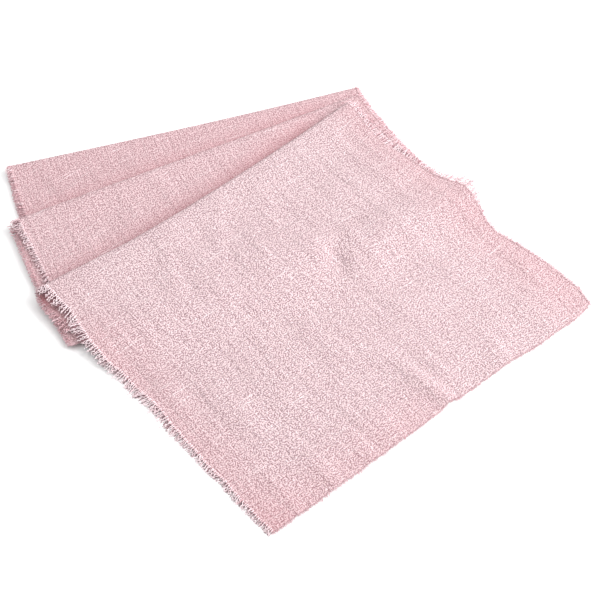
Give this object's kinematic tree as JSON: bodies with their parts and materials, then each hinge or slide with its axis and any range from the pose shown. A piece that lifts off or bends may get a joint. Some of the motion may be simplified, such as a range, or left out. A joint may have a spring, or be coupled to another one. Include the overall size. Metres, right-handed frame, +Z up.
{
  "type": "folded table runner",
  "caption": "Pink cotton gauze table runner, pleated back and forth into a fan, with its long top section laid forward over the pleats and frayed edges all round",
  "frame": {"origin": "middle of the folded runner's outline, on the surface that it lies on", "axes": "+X across the cloth along its free end, left to right as seen from that end; +Y from the free end to the back folds; +Z up"},
  "size_m": [0.3954, 0.4612, 0.0176],
  "materials": {
    "gauze": "soft crinkled cotton gauze with pale slubs",
    "fringe": "frayed curly cotton thread"
  },
  "bodies": {
    "root": {"runner_cloth": "gauze", "fringe_left_top_front": "fringe", "fringe_left_top_back": "fringe", "fringe_right_top_front": "fringe", "fringe_right_top_back": "fringe", "fringe_left_second": "fringe", "fringe_right_second": "fringe", "fringe_left_third": "fringe", "fringe_right_third": "fringe", "fringe_left_fourth": "fringe", "fringe_right_fourth": "fringe", "fringe_left_fifth": "fringe", "fringe_right_fifth": "fringe", "fringe_left_sixth": "fringe", "fringe_right_sixth": "fringe", "fringe_left_seventh": "fringe", "fringe_right_seventh": "fringe", "fringe_free_end": "fringe"}
  },
  "joints": []
}
